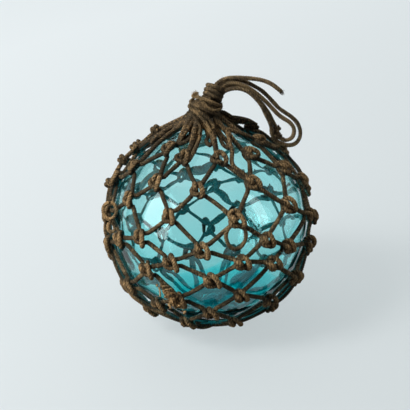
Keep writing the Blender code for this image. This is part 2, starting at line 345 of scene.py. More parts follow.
net = {
    "meshes": 10,
    "pieces": ("netFront", "netLeft", "netRight", "netBack"),
    "part": (0, 0, 2, 2, 2, 3, 3, 1, 1, 1),  # which piece each column's cord belongs to
    # each row's latitude and its first knot's longitude, from the neck to the start ring
    "rows": ((62, 12), (44, -4), (28, 15), (14, -4), (5, 14), (-3, -1), (-17, 18),
             (-29, 1), (-44, 18), (-76, 0), (-82, 18)),
    # knots pulled out of their place: (row, knot) and degrees up and across
    "pulled": {
        (0, -2): (2.5, 2.5), (0, -1): (0.5, -5.5), (0, 0): (1, -0.5), (0, 1): (-1.5, 2),
        (1, -1): (0.5, -2), (1, 0): (0.5, -4.5), (1, 1): (1, 1), (1, 2): (-1, 3.5),
        (2, -2): (2, -1), (2, -1): (1, -3.5), (2, 0): (-0.5, 1), (2, 1): (-1.5, 2.5),
        (3, -2): (-1.5, -3.5), (3, -1): (0, -0.5), (3, 0): (-1, 0), (3, 2): (-1, 5),
        (4, -2): (2.5, 1), (4, -1): (0, 1.5), (4, 0): (0, 3), (4, 1): (1, -4),
        (5, -1): (0.5, 2), (5, 0): (-1, 2), (5, 1): (3, 0), (5, 2): (0.5, -2),
        (6, -2): (-4, 0), (6, -1): (-1.5, 0.5), (6, 0): (1, -1.5), (6, 1): (-1, 2),
        (7, -2): (-2, -2), (7, -1): (1.5, 2), (7, 0): (-0.5, -1), (7, 1): (1.5, 1.5),
    },
    "barStep": 4 * mm,
    "slack": 0.35 * mm,  # how far a bar strays from its straight line
    "landing": 1 / 4,  # share of a bar after which it is down on the glass
    "legSlack": 0.8 * mm,
    "legAim": (80, 6),  # latitude that a first knot's legs point to, and degrees either way
    "turn": 8,  # degrees that a knot may be turned either way
    "size": 0.06,  # share that a knot may be smaller or larger
    "loose": (0.45, 0.8),  # share of the knots that stand open, in front and behind
    "eased": 3,
    "hook": (-82, -80, 6),  # where a cord turns on the start ring: lowest, highest, degrees either way
    "startRing": (-84, 60),  # its latitude, and how many points it has
    "shades": (0.4, 0.62),
    # painted shade: how much darker the ropes are high up, from what height, over what; and towards -X
    "darkTone": (0.26, 0.65, 0.3, 0.1, 1.5),
    "fuzz": (900, 1.3 * mm, 0.13 * mm),  # fibres on each piece, their length and width
}
meshTurn = 360 / net["meshes"]
netRest = ballRadius + rope["diameter"] / 2  # how far from the ball's middle its ropes lie

# a sheet bend in rope diameters: across, up and off the glass
# both legs of the bight come from the right
bight = (
    (1.75, 0.5, 0.25), (1.15, 0.35, 0.6), (0.5, 0.25, 0.85), (-0.15, 0.5, 0.9), (-0.75, 0.75, 0.85),
    (-1.35, 0.35, 0.9), (-1.5, -0.4, 1), (-1.1, -1.05, 1.15), (-0.3, -1.35, 1.05), (0.5, -1.1, 0.75),
    (1.15, -0.6, 0.45), (1.8, -0.35, 0.2),
)
# the hitch comes from the upper left, wraps the bight and leaves at the lower left
hitch = (
    (-1.3, 1.3, 0.5), (-1.05, 0.95, 1.45), (-0.8, 0.35, 1.3), (-0.5, -0.15, 0.3), (-0.05, -0.85, 0),
    (0.5, -1.55, 0.15), (1.05, -1.9, 0.85), (1.35, -1.5, 1.5), (1.3, -0.65, 1.75), (1.05, 0.25, 1.75),
    (0.65, 1.05, 1.5), (0.05, 1.6, 1.1), (-0.5, 1.6, 0.5), (-0.85, 1.1, 0.05), (-0.75, 0.2, 0.15),
    (-0.8, -0.4, 0.4), (-1.15, -0.8, 0.2), (-1.6, -1.1, 0.05),
)
sheetBend = {  # lengths are in rope diameters
    "step": 0.3,
    "gap": 0.92,  # between the middles of strands that touch
    "rounds": (160, 60),  # in which a tight and a loose knot settle
    "own": 5,  # steps along a strand that don't push each other
    "push": 0.3,  # share of an overlap that one round takes away
    "straighten": 0.12,
    "loosened": 1.2,  # how much wider the bight of a loose knot is
    "raised": 0.15,  # and how much higher it sits
    "drawn": 9,  # steps that turn towards the bar
    "foot": (1.75, 0.1),  # where the bar ends: distance, and off the glass
    "pinch": 0.93,
    "stray": 0.03,
}


def settled(strands, rounds):
    # lets the strands of a knot push each other apart and rest on the glass
    strands = [smoothLine(strand, sheetBend["step"]) for strand in strands]
    places = np.vstack(strands)
    owner = np.repeat(np.arange(len(strands)), [len(strand) for strand in strands])
    order = np.arange(len(places))
    near = (owner[:, None] == owner) & (np.abs(order[:, None] - order) < sheetBend["own"])
    change = owner[1:] != owner[:-1]
    inner = ~(np.append(True, change) | np.append(change, True))
    for _ in range(rounds):
        apart = places[:, None] - places
        space = np.linalg.norm(apart, axis=2) + 1e-6  # never zero
        push = np.where(near, 0, np.clip(sheetBend["gap"] - space, 0, None))
        shift = (apart / space[..., None] * push[..., None]).sum(1) * sheetBend["push"]
        middle = np.zeros_like(places)
        middle[1:-1] = (places[:-2] + places[2:]) / 2 - places[1:-1]
        places[inner] += (shift + sheetBend["straighten"] * middle)[inner]
        places[:, 2] = np.clip(places[:, 2], 0, None)
    return [places[owner == index] for index in range(len(strands))]


def makeTemplates():
    # a tight knot, and a loose one whose bight stands open as a ring
    opened = np.array(bight)
    opened[1:-1, :2] = opened[1:-1, :2] * sheetBend["loosened"] + (0, sheetBend["raised"])
    return [settled((first, hitch), rounds) for first, rounds in zip((bight, opened), sheetBend["rounds"])]


def drawn(strand, way):
    # the strand's first stretch is pulled round towards the bar it comes from
    fade = np.clip(1 - np.arange(len(strand)) / sheetBend["drawn"], 0, 1)[:, None]
    fade = fade * fade * (3 - 2 * fade)
    reach, rise = sheetBend["foot"]
    return strand + (np.append(way * reach, rise) - strand[0]) * fade


def onNet(latitude, longitude, height=0.0):
    # longitude 0 faces -Y and grows towards +X, and the height is in mm over the net's rest
    up, turn = math.radians(latitude), math.radians(longitude)
    way = np.array((math.cos(up) * math.sin(turn), -math.cos(up) * math.cos(turn), math.sin(up)))
    return ballCentre + way * (netRest + height * mm)


def knotPlace(row, column):
    half = net["meshes"] // 2
    column = (column + half) % net["meshes"] - half
    latitude, first = net["rows"][row]
    up, across = net["pulled"].get((row, column), (0, 0))
    return onNet(latitude + up, first + column * meshTurn + across)


def neighbours(row, column):
    # upper left, upper right, lower left and lower right
    left = column - row % 2
    below = [knotPlace(row + 1, side) for side in (left, left + 1)]
    if row > 0:
        return [knotPlace(row - 1, side) for side in (left, left + 1)] + below
    high, apart = net["legAim"]
    middle = net["rows"][0][1] + column * meshTurn
    return [onNet(high, middle - apart), onNet(high, middle + apart)] + below


class Knot:
    def __init__(self, row, column, templates):
        self.here = knotPlace(row, column)
        behind = int(self.here[1] > 0)
        strands = templates[int(chance.uniform() < net["loose"][behind])]
        self.out = unit(self.here - ballCentre)
        around = [unit(other - self.here) for other in neighbours(row, column)]
        rise = around[0] + around[1] - around[2] - around[3]
        rise = unit(rise - self.out * np.dot(rise, self.out))
        across = np.cross(rise, self.out)
        turn = math.radians(chance.uniform(-1, 1) * net["turn"])
        self.up = rise * math.cos(turn) + across * math.sin(turn)
        self.across = np.cross(self.up, self.out)
        self.size = sheetBend["pinch"] * rope["diameter"] * (1 + net["size"] * chance.uniform(-1, 1))
        upperLeft, upperRight, lowerLeft, lowerRight = [self.flatWay(way) for way in around]
        self.bight = self.placed(strands[0], upperRight, lowerRight)
        self.hitch = self.placed(strands[1], upperLeft, lowerLeft)

    def flatWay(self, way):
        return unit(np.array((np.dot(way, self.across), np.dot(way, self.up))))

    def placed(self, strand, first, last):
        strand = drawn(drawn(strand, first)[::-1], last)[::-1]
        strand = strand + chance.normal(0, sheetBend["stray"], strand.shape)
        away = self.here - ballCentre
        flat = away + (strand[:, :1] * self.across + strand[:, 1:2] * self.up) * self.size
        return ballCentre + unit(flat) * (np.linalg.norm(away) + strand[:, 2:] * self.size)


def pull(start, end, slack, least):
    # shares of the way between two points, and the places there from the ball's middle
    a, b = start - ballCentre, end - ballCentre
    count = max(round(np.linalg.norm(b - a) / net["barStep"]), least)
    shares = np.linspace(0, 1, count + 1)[1:-1, None]
    side = unit(np.cross(b - a, a + b)) * chance.uniform(-1, 1) * slack
    return shares, a * (1 - shares) + b * shares + side * np.sin(math.pi * shares)


def bar(start, end):
    # the straight stretch between two knots, a little slack, resting on the glass
    shares, line = pull(start, end, net["slack"], 2)
    first, last = [np.linalg.norm(point - ballCentre) for point in (start, end)]
    lift = np.clip(1 - np.minimum(shares, 1 - shares) / net["landing"], 0, 1)
    return ballCentre + unit(line) * (netRest + (first * (1 - shares) + last * shares - netRest) * lift)


def clearOfGlass(points, radius):
    away = points - ballCentre
    reach = np.linalg.norm(away, axis=1)[:, None]
    return ballCentre + unit(away) * np.maximum(reach, ballRadius + radius)


def leg(column, right, foot):
    # from inside the neck straight down to a first-row knot, bent only where the glass stops it
    legs = neck["legs"]
    turn = net["rows"][0][1] + column * meshTurn + (legs["apart"] if right else -legs["apart"])
    rim = legs["rims"][right]
    ends = (neckWay(turn, rim * legs["narrow"], legs["top"]), neckWay(turn, rim, legs["rim"]))
    high, low = onNeck(ends)
    line = pull(low, foot, net["legSlack"], 3)[1]
    return np.vstack(([high, low], clearOfGlass(ballCentre + line, rope["diameter"] / 2)))


def descend(knots, column, right):
    # a cord's zigzag from the neck down, a bight at one knot and a hitch at the next
    points = []
    at, side = column, right
    for row in range(len(net["rows"]) - 1):
        knot = knots[row, at % net["meshes"]]
        through = knot.bight if side else knot.hitch
        points.append(bar(points[-1][-1], through[0]) if row else leg(column, right, through[0]))
        points.append(through)
        at += side - row % 2
        side = not side
    return np.vstack(points)


def ringTurn(column):
    turn = net["rows"][-1][1] + column * meshTurn
    low, high, apart = net["hook"]
    return np.array([onNet(high, turn + apart), onNet(low, turn), onNet(high, turn - apart)])


def startRing():
    latitude, count = net["startRing"]
    return floored(np.array([onNet(latitude, turn) for turn in np.linspace(0, 359, count)]))


def floored(points):
    points = points.copy()
    points[:, 2] = np.clip(points[:, 2], rope["diameter"] / 2, None)
    return points


def swelling(points):
    # ropes are fuller where they stand off the glass, on a knot's outer bends
    share, low, over = rope["swell"]
    height = np.linalg.norm(points - ballCentre, axis=1) - ballRadius
    return 1 + share * np.clip((height - low) / over, 0, 1)


def withPaintedShade(points, shade):
    # painted shade: ropes are darker high up by the neck and towards -X
    x, _, z = ((points - ballCentre) / ballRadius).T
    high, low, over, left, side = net["darkTone"]
    return shade - high * np.clip((z - low) / over, 0, 1) - left * np.clip(-x * side, 0, 1)


def makeNet(finish):
    templates = makeTemplates()
    knots = {}
    for row in range(len(net["rows"]) - 1):
        for column in range(net["meshes"]):
            knots[row, column] = Knot(row, column, templates)
    parts = [RopeMesh() for _ in net["pieces"]]
    for column in range(net["meshes"]):
        line, back = descend(knots, column, True), descend(knots, column, False)
        ring = ringTurn(column)
        points = np.vstack((line, bar(line[-1], ring[0]), ring, bar(ring[-1], back[-1]), back[::-1]))
        points = floored(eased(spaced(points), net["eased"]))
        shade = withPaintedShade(points, chance.uniform(*net["shades"]))
        parts[net["part"][column]].add(points, rope["diameter"], shade, swelling(points))
    front = parts[0]
    front.add(startRing(), rope["diameter"])
    makeExtras(front)
    for mesh in parts:
        makeFuzz(mesh, mesh.lines, *net["fuzz"])
    for place, *fray in extras["frays"]:
        makeFray(front, front.lines, onNet(*place), *fray)
    return [mesh.finish(name, finish) for mesh, name in zip(parts, net["pieces"])]


def makeFray(mesh, lines, centre, reach, count, length, shade):
    # hairs round one place on the ropes
    points = np.vstack([line for line, _ in lines])
    near = points[np.linalg.norm(points - centre, axis=1) < reach * mm]
    picked = near[chance.integers(0, len(near), count)]
    ways = chance.normal(0, 1, (count, 3)) + unit(centre - ballCentre) * frays["outward"]
    mesh.addHairs(picked + unit(ways) * frays["root"], ways, length * mm, frays["width"], shade)


def makeFuzz(mesh, lines, count, length, width):
    # the short fibres that stand off every rope
    points = np.vstack([line for line, _ in lines])
    radii = np.concatenate([np.full(len(line), radius) for line, radius in lines])
    picked = chance.integers(0, len(points), count)
    ways = unit(chance.normal(0, 1, (count, 3)))
    roots = points[picked] + ways * radii[picked, None] * frays["sunk"]
    mesh.addHairs(roots, ways, length, width, frays["shade"])


frays = {
    "outward": 0.6,
    "root": 0.9 * mm,  # how far off a rope's middle a fray's hairs start
    "width": 0.22 * mm,
    "sunk": 0.85,  # how far off a rope's middle its fuzz starts, as a share of its radius
    "shade": 0.6,
    "step": 4,  # loose yarn: steps that show the rope's way
    "points": 6,
    "waver": (0.4, 0.6),  # how far it leaves that way, and how far it bends
    "lengths": (0.6, 1.2),
    "widths": (0.75, 1.25),
    "shades": (0.4, 1),
    "groove": 0.5,
}


def makeUnlaid(mesh, line, count, spread, length, thick, shade):
    # a frayed place: short ends of loose yarn lying on each other
    step, (leave, curl) = frays["step"], frays["waver"]
    share = np.linspace(0, 1, frays["points"])[:, None]
    for _ in range(count):
        at = chance.integers(step, len(line) - step)
        along = unit(line[at + step] - line[at - step]) * chance.choice((-1, 1))
        way = along + chance.normal(0, leave, 3)
        bend = chance.normal(0, curl, 3)
        start = line[at] + chance.normal(0, spread * mm, 3)
        points = start + (way * share + bend * share**2) * chance.uniform(*frays["lengths"]) * length * mm
        size = chance.uniform(*frays["widths"]) * thick * mm
        points = smoothLine(clearOfGlass(points, size / 2))
        mesh.add(points, size, chance.uniform(*frays["shades"]) * shade, groove=frays["groove"])


# what is loose or mended in the net
extras = {
    "rings": (  # middle on the ball, the way it faces, height, width, length and rope in mm
        ((19, 14.6), (12, 14.6), 0.4, 15.6, 18.4, 2.9),
        ((30.2, 14.6), (18, 14.6), 3.4, 9.4, 8.6, 2.6),
        ((18.6, -68.4), (22, -12), 6.2, 11.6, 13.2, 2.6),
        ((9.5, -68), (12, -30), 3, 8, 9, 2.7),
    ),
    "ringBends": (96, 444, 50),  # degrees where a ring starts and ends, and its points
    "ringLook": (0.03, 0.6, 0.9),  # how uneven, shade and groove
    # turns round a slack cord: latitude, longitude and height in mm, and how many
    "turns": ((51.5, -129.5, 4.4, 1.8), (40.7, -116, 3.4, 2.4), (20.6, -101, 4.2, 2.2), (33, -109, 4.4, 1.4)),
    "turnSize": (3.2, 3.4, 2.8),  # radius, thickness and pitch in mm
    "turnWay": (8, 5),  # the cord's way there, in degrees down and across
    "turnPoints": 24,  # in each turn
    "turnShade": 0.1,
    # a mended cord, then slack ones: shade, thickness against the net's rope, then stops as
    # latitude, longitude and height over the net's rest in mm
    "cords": (
        (0.2, 0.95, (76, 44, 6), (66, 31, 3.4), (57.5, 23, 3.2), (51, 28.6, 3.2), (45, 33.5, 3.4),
         (39.5, 38, 3.4), (32, 45.5, 3.2), (26.5, 52, 4.6), (21.5, 56.5, 3.2)),
        (0.3, 1, (27, -93, 2.4), (21, -92, 2.6), (16, -90, 1.5), (5, -87, 2.2), (-7, -84, 1.2),
         (-18, -77, 1.4), (-29, -67, 2.4), (-37, -50, 1.2), (-46, -35, 1), (-56, -22, 1.2),
         (-62, -5, 1), (-70, -2, 0.8), (-75, 0, 0.8)),
        (0.5, 1, (14, -76, 2.5), (3, -80, 3.4), (-9, -75, 1.6), (-21, -69, 2.2), (-31, -57, 4),
         (-41, -42, 2), (-51, -28, 1.2), (-60, -12, 2.8), (-66, 4, 1), (-72, 3, 0.8), (-76, 2, 0.8)),
        (0.25, 1, (-17, 90, 1.8), (-27, 76, 2.2), (-36, 64, 2.6), (-44, 52, 1.6), (-52, 38, 1.4),
         (-58, 22, 1.2), (-63, 4, 1), (-70, 3, 0.8), (-76, 0, 0.8)),
        (0.2, 1, (86, -140, 13), (76, -144, 8), (65, -143, 6), (51, -129, 4.8), (42, -117, 3.6),
         (34.5, -110.5, 4.8), (26.5, -105, 4.8), (19, -100, 4.4), (11, -96, 3.2), (6, -94.5, 2.4)),
        (0.05, 1, (61, 121, 3), (53, 121, 3), (50, 117, 2.6), (43, 109, 2), (35, 105, 2),
         (31, 94, 3), (28, 88, 2)),
    ),
    "darkBundle": (  # ropes that lie in shadow, near black as painted shade; mm from the ball's middle
        ((4, 3, 78), (9, 4, 78), (13, 6, 75), (17, 8.4, 71.4), (24, 11.4, 68.9), (31.5, 13.8, 64.6)),
        ((4, 0, 74), (10, 3.6, 72.2), (19.6, 9.2, 68.9), (26, 12, 66.8), (32.5, 14.2, 62.4)),
        ((4, 4, 76), (11, 6.6, 73.6), (19, 11.4, 70.6), (26, 14, 67.8), (31, 17, 63.6)),
        ((-6, -4, 84), (-10.9, -3, 78.5), (-16.8, 2, 72.6), (-24.1, 5.5, 67.4), (-32, 5, 62.6),
         (-39.3, 8, 57), (-45.6, 17, 48.5)),
        ((-6, -3, 82), (-13.5, -3, 75.1), (-20.1, -1, 69.4), (-27.2, -3.5, 64.8), (-34.3, -8, 60),
         (-40, -10, 54.4), (-46, -11.4, 48.6)),
    ),
    "bundleLook": (0.05, 0.6),  # painted shade, near black, and groove
    # frayed places: where, reach in mm, hairs, their length in mm, shade
    "frays": (((-9.6, -18.2, 4), 5, 110, 2.6, 0.1), ((-18, -18.5, 4), 8, 200, 1.8, 1.1),
              ((27.1, 16.2, 4), 5, 40, 1.6, 0.9)),
    "unlaid": ((-9.5, -29.5, 2.5), (-13.2, -23.2, 4.5), (-17.5, -19.4, 5), (-23.5, -15.2, 4)),
    "unlaidYarn": {"count": 76, "spread": 1.2, "length": 2.1, "thick": 1.5, "shade": 1.45},
}


def makeRings(mesh):
    wobble, shade, groove = extras["ringLook"]
    angles = np.radians(np.linspace(*extras["ringBends"]))
    for (up, turn), facing, height, width, length, thick in extras["rings"]:
        out = unit(onNet(*facing) - ballCentre)
        across = unit(np.cross((0, 0, 1), out))
        rise = np.cross(out, across)
        uneven = 1 + wobble * np.sin(3 * angles + height)
        points = (onNet(up, turn, height)
                  + np.outer(np.cos(angles) * uneven * (width - thick) / 2 * mm, across)
                  + np.outer(np.sin(angles) * uneven * (length - thick) / 2 * mm, rise))
        points = clearOfGlass(points, thick / 2 * mm)
        mesh.add(spaced(points), thick * mm, shade, groove=groove)


def makeTurns(mesh):
    # hitches made round the slack cord on the left
    radius, thick, pitch = np.array(extras["turnSize"]) * mm
    down, across = extras["turnWay"]
    for up, turn, height, count in extras["turns"]:
        middle = onNet(up, turn, height)
        along = unit(onNet(up - down, turn + across) - onNet(up + down, turn - across))
        one = unit(np.cross(along, middle - ballCentre))
        two = np.cross(along, one)
        share = np.linspace(-0.5, 0.5, round(count * extras["turnPoints"]))[:, None] * count
        angles = share * math.tau
        points = middle + (one * np.cos(angles) + two * np.sin(angles)) * radius + along * share * pitch
        mesh.add(spaced(clearOfGlass(points, thick / 2)), thick, extras["turnShade"])


def onBall(route):
    return smoothLine([onNet(*stop) for stop in route])


def makeExtras(mesh):
    makeRings(mesh)
    makeTurns(mesh)
    for shade, thick, *route in extras["cords"]:
        mesh.add(onBall(route), rope["diameter"] * thick, shade)
    # the dark bundle's near-black colour is painted shade
    shade, groove = extras["bundleLook"]
    for route in extras["darkBundle"]:
        mesh.add(smoothLine(fromMiddle(route)), rope["diameter"], shade, groove=groove)
    for route, thick, shade in neckLoops():
        mesh.add(route, thick, shade)
    makeUnlaid(mesh, onBall(extras["unlaid"]), **extras["unlaidYarn"])


neck = {
    "foot": (-3.5, 0, 74.5),  # mm from the ball's middle
    "lean": 20,  # degrees towards +X
    "core": 4.3 * mm,
    "step": 0.5 * mm,
    "strands": {"count": 6, "radius": 2.7 * mm, "thick": 3.2 * mm, "lay": 30 * mm, "low": -5 * mm,
                "high": 22.4 * mm, "points": 20, "shade": 0.3},
    # the net's legs enter it in two layers, each narrower at its top
    "legs": {"rims": (7.7 * mm, 5.4 * mm), "apart": 9, "narrow": 0.75, "rim": 6.5 * mm, "top": 12 * mm},
    # how often and how much a whipping's turns leave their plane, and their circle
    "waver": (2.3, 0.25 * mm, 1.7, 0.03),
    "phase": 0.9 / mm,  # a layer's waves start this far on for each mm along the neck
    "turnPoints": 40,  # in each turn
    "upper": {"start": 13.6 * mm, "turns": 3.5, "twine": 2.8 * mm, "pitch": 2.95 * mm, "tilt": 3, "begin": 80,
              "rise": 31, "shift": 0.7 * mm, "bite": 0.3 * mm, "shade": 0.3, "groove": 0.2,
              "fuzz": (120, 0.8 * mm, 0.12 * mm)},
    "rise": 16,  # degrees that the lower whipping is tipped up in front
    # each layer of the lower whipping: radius, first and last middle along the neck, turns, tilt, start,
    # twine, shift
    "lower": (
        (5.8, 7.4, 12.6, 3, 4, 95, 2.1, 0), (7.4, 12, 5.4, 2.9, 0, 95, 2.1, -0.8),
        (8.2, 11.4, 6.2, 1.6, 0, 70, 2.1, -1.5), (8.3, 9.4, 4.6, 1.7, 2, 250, 2.1, -1.4),
    ),
    "lowerShades": (0.3, 0.8),
    "lowerFuzz": (1300, 1.2 * mm, 0.17 * mm),
    "strays": (  # turns that cross the others and hang down: shade, then mm from the ball's middle
        (0.8, (-6.6, 2, 92), (-9.3, -3, 92), (-4.7, -8.4, 93), (-0.1, -10, 91.6), (4.5, -8.4, 88.8),
         (8, -3, 84.7), (6.4, 2, 84)),
        (0.55, (-9, 2, 88.4), (-11, -3, 87.9), (-7.1, -8.8, 87.6), (-2.5, -10.4, 86.1), (2.1, -9.9, 83.3),
         (5.8, -6, 80.4), (7, -1, 79.4)),
        (0.7, (-6.4, -6.2, 93.4), (-2.4, -9.9, 89.6), (1.1, -11, 86.4), (4.8, -9.6, 84.6), (8, -5, 84.2),
         (8.4, 0, 85.4)),
        (0.65, (-9, 2, 86.4), (-11.8, -3, 85), (-7.9, -9.4, 83.8), (-3.4, -12.3, 80), (0, -14.9, 76.1),
         (1.5, -17, 72.8)),
        (0.4, (-9.9, -4, 86.3), (-4.9, -10.4, 84), (-0.9, -12.2, 81.2), (2.5, -13, 77.5), (3.4, -15, 74.4)),
        (0.3, (-10, -3, 82.6), (-9.6, -6.4, 81.2), (-6.9, -11, 78.3), (-5, -14, 74.5), (-5.8, -16.4, 71.4)),
    ),
    "strayTwine": (2, 2.4),  # mm
    "tuft": {"place": (-7.6, -5, 93.2), "count": 220, "spread": 0.9 * mm, "way": (-0.5, -0.3, 0.8),
             "waver": 0.7, "size": (1.3 * mm, 0.3 * mm), "shade": 1.3},
    # loops: top and lowest latitude, longitude, half width in degrees, thickness, shade
    "loops": ((76, 59.8, -24.7, 3.1, 3, 0.4), (80, 73, 2.5, 7.5, 2.9, 0.35),
              (79, 70, -52, 5, 2.9, 0.1), (78, 68.5, 32, 5, 2.9, 0.25)),
    "loopRoot": (8.6 * mm, 3 * mm, 1.2 * mm),  # out from the neck, along it, and to either side
    "loopHeights": (3.6, 1.6, 1.8),  # mm over the net's rest, from the top down
    "loopTop": 4,  # half width of a loop's top, and its lower bend, in degrees
    "tails": (  # thickness and shade, then mm from the ball's middle
        (2.1, 0.7, (-9, -6, 82), (-6, -8.6, 77), (-2.2, -10.4, 73.2), (1.6, -12.4, 70.2), (2.6, -16, 68)),
        (3, 0.15, (3, -7, 76), (8, -8.6, 73), (15, -8.4, 70.2), (23, -6.5, 66.6), (30, -3.4, 61.2)),
    ),
}


def onNeck(points):
    # points of an upright neck, put on the leaning one
    foot = ballMiddle + Vector(neck["foot"]) * mm
    place = Matrix.Translation(foot) @ Matrix.Rotation(math.radians(neck["lean"]), 4, "Y")
    return np.array([place @ Vector(point) for point in points])


def neckWay(turn, radius, along):
    turn = math.radians(turn)
    return np.array((math.sin(turn) * radius, -math.cos(turn) * radius, along))


def neckLoops():
    # loops and ends that hang out of the neck over the first meshes
    found = []
    reach, along, apart = neck["loopRoot"]
    top, bend, foot = neck["loopHeights"]
    for high, low, turn, spread, thick, shade in neck["loops"]:
        root = onNeck([neckWay(turn, reach, along)])[0]
        sides = [[root + (side * apart, 0, 0), onNet(high, turn + side * neck["loopTop"], top),
                  onNet(low + neck["loopTop"], turn + side * spread, bend)] for side in (-1, 1)]
        route = sides[0] + [onNet(low, turn, foot)] + sides[1][::-1]
        found.append((smoothLine(route), thick * mm, shade))
    for thick, shade, *route in neck["tails"]:
        found.append((smoothLine(fromMiddle(route)), thick * mm, shade))
    return found


def wound(radius, first, last, turns, tilt, begin, rise, shift):
    # turns round the neck whose planes are tipped down towards +X and up towards -Y
    waves, height, bulges, uneven = neck["waver"]
    share = np.linspace(0, 1, round(turns * neck["turnPoints"]))
    angles = np.radians(begin) + math.tau * turns * share
    down, up = [math.tan(math.radians(lean)) * radius for lean in (tilt, rise)]
    wave = height * np.sin(angles * waves + first * neck["phase"])
    heights = first + (last - first) * share - down * np.cos(angles) + wave - up * np.sin(angles)
    reach = radius * (1 + uneven * np.sin(angles * bulges + begin))
    line = np.stack((reach * np.cos(angles), reach * np.sin(angles), heights), axis=1)
    return spaced(onNeck(line) + (shift, 0, 0), neck["step"])


def makeUpperWhipping(finish):
    size = neck["upper"]
    radius = neck["core"] + size["twine"] / 2 - size["bite"]
    top = size["start"] + size["turns"] * size["pitch"]
    line = wound(radius, top, size["start"], size["turns"], size["tilt"], size["begin"], size["rise"],
                 size["shift"])
    mesh = RopeMesh()
    mesh.add(line, size["twine"], size["shade"], groove=size["groove"])
    makeFuzz(mesh, mesh.lines, *size["fuzz"])
    return mesh.finish("whippingUpper", finish)


def makeLowerWhipping(finish):
    mesh = RopeMesh()
    for radius, first, last, turns, tilt, begin, twine, shift in neck["lower"]:
        line = wound(radius * mm, first * mm, last * mm, turns, tilt, begin, neck["rise"], shift * mm)
        mesh.add(line, twine * mm, chance.uniform(*neck["lowerShades"]), groove=1)
    for shade, *route in neck["strays"]:
        twine = chance.uniform(*neck["strayTwine"]) * mm
        mesh.add(smoothLine(fromMiddle(route), neck["step"]), twine, shade, groove=1)
    makeFuzz(mesh, mesh.lines, *neck["lowerFuzz"])
    tuft = neck["tuft"]
    roots = fromMiddle(tuft["place"]) + chance.normal(0, tuft["spread"], (tuft["count"], 3))
    ways = np.array(tuft["way"]) + chance.normal(0, tuft["waver"], (tuft["count"], 3))
    mesh.addHairs(roots, ways, *tuft["size"], tuft["shade"])
    return mesh.finish("whippingLower", finish)


def makeNeckCore(finish):
    # the gathered strands inside the whippings
    mesh = RopeMesh()
    size = neck["strands"]
    heights = np.linspace(size["low"], size["high"], size["points"])
    for index in range(size["count"]):
        spin = math.tau * index / size["count"] + heights / size["lay"] * math.tau
        line = np.stack((size["radius"] * np.cos(spin), size["radius"] * np.sin(spin), heights), axis=1)
        mesh.add(spaced(onNeck(line)), size["thick"], size["shade"])
    return mesh.finish("neckStrands", finish)


lanyard = {
    "diameter": 2.9 * mm,
    "step": 0.6 * mm,
    "groove": 0.8,
    "inNeck": (4.5, 0, 90),  # where the looped ropes end, hidden in the neck
    "inNeckShares": (0.45, 0.55),  # a route's first point lies between its first stop and that place
    "ropes": {  # the CAD's name of each, its route, what its far end is on, and its shade
        "lanyardOuter": ("lanyard_loop_outer", "outer", "object", 0.6),
        "lanyardInner": ("lanyard_loop_inner", "inner", "object", 1),
        "lanyardEnd": ("lanyard_free_end", "end", "bare", 0.6),
    },
    # each rope's route in mm from the ball's middle, from the neck on
    "outer": (
        (7.4, 2.6, 96.9), (9.9, 2.6, 99.4), (14.1, 2.5, 100.8), (18.9, 2.3, 100.6), (23.7, 2.2, 99.1),
        (29.1, 2.6, 96.1), (34, 3, 92.7), (37.9, 3.4, 88.9), (41.9, 4, 84), (45.4, 4.8, 79.8),
        (49.4, 5.6, 76.4), (53.9, 6.2, 72.8), (57.6, 6.6, 68.4), (59.5, 6.8, 63.2), (59.2, 7, 58),
        (56.6, 7.2, 54), (52.2, 7.2, 52.7), (47.4, 6.8, 54.3), (43.2, 5.8, 57.3), (41, 3.6, 62.8),
        (40.5, 2.3, 67.9), (38.8, 1.8, 72.9), (36.9, 0.4, 77.5), (35, -0.9, 82), (32.7, -2.3, 86.3),
        (29.3, -3.2, 91), (25.3, -3.5, 94.6), (20.4, -3.6, 96.6), (15.9, -3.6, 96.8), (11.6, -3.4, 95.6),
    ),
    "inner": (
        (9.3, -1, 97.3), (12.3, -1, 99.3), (16.4, -1.1, 99.7), (21.2, -1, 98.3), (26, -0.6, 95.7),
        (30.4, -0.1, 92.4), (34.3, 0.4, 88.5), (38.3, 1.2, 84.2), (41.8, 2, 79.9), (44.8, 3, 76.2),
        (48.4, 4, 72.9), (52.2, 4.8, 70), (54.9, 5.2, 66.3), (55.4, 5.4, 62.3), (53.9, 5.6, 58.6),
        (50.4, 5.6, 57), (46.9, 5.5, 58.3), (44.8, 5, 62.4), (43.2, 4.8, 67.2), (41.3, 5, 71.3),
        (39.5, 4.8, 75.4), (37, 4.2, 79.6), (34.2, 3.2, 83.5), (30.8, 2.4, 87.5), (27.1, 2, 91.2),
        (22.7, 1.8, 94.5), (17.9, 1.8, 96.2), (13.5, 1.9, 96.2), (10.9, 1.9, 95),
    ),
    "end": (
        (5, -1.6, 98.3), (6.7, -1.7, 100.2), (9.2, -1.7, 102), (12.5, -1.6, 103), (16.4, -1.5, 103.2),
        (20.2, -1.4, 103.1), (24.6, -1.2, 102.7), (29.9, -1.2, 102.1), (34.2, -1.2, 101.2),
        (38.1, -1.2, 99.7), (41.5, -1.2, 97.6), (44.4, -1.2, 95.2), (46.8, -1.2, 93),
    ),
    "fuzz": (1.5, 1.0 * mm, 0.12 * mm),  # fibres on each step of a rope, their length and width
    # a frayed place on the inner rope: middle, reach of the loose yarn, then reach, hairs, length, shade
    "frayed": ((43.6, 5, 62), 6.5 * mm, (6, 90, 0.8, 0.6)),
    "unlaid": {"count": 80, "spread": 0.75, "length": 1.3, "thick": 1.4, "shade": 0.7},
    # the brush at a cut end: hairs, spread of their roots and ways, length, width and shade
    "brush": (40, 0.7 * mm, 0.3 * mm, 1.6 * mm, 0.25 * mm, 0.4),
    "endWay": 5,  # steps that show the way of a cut end
}


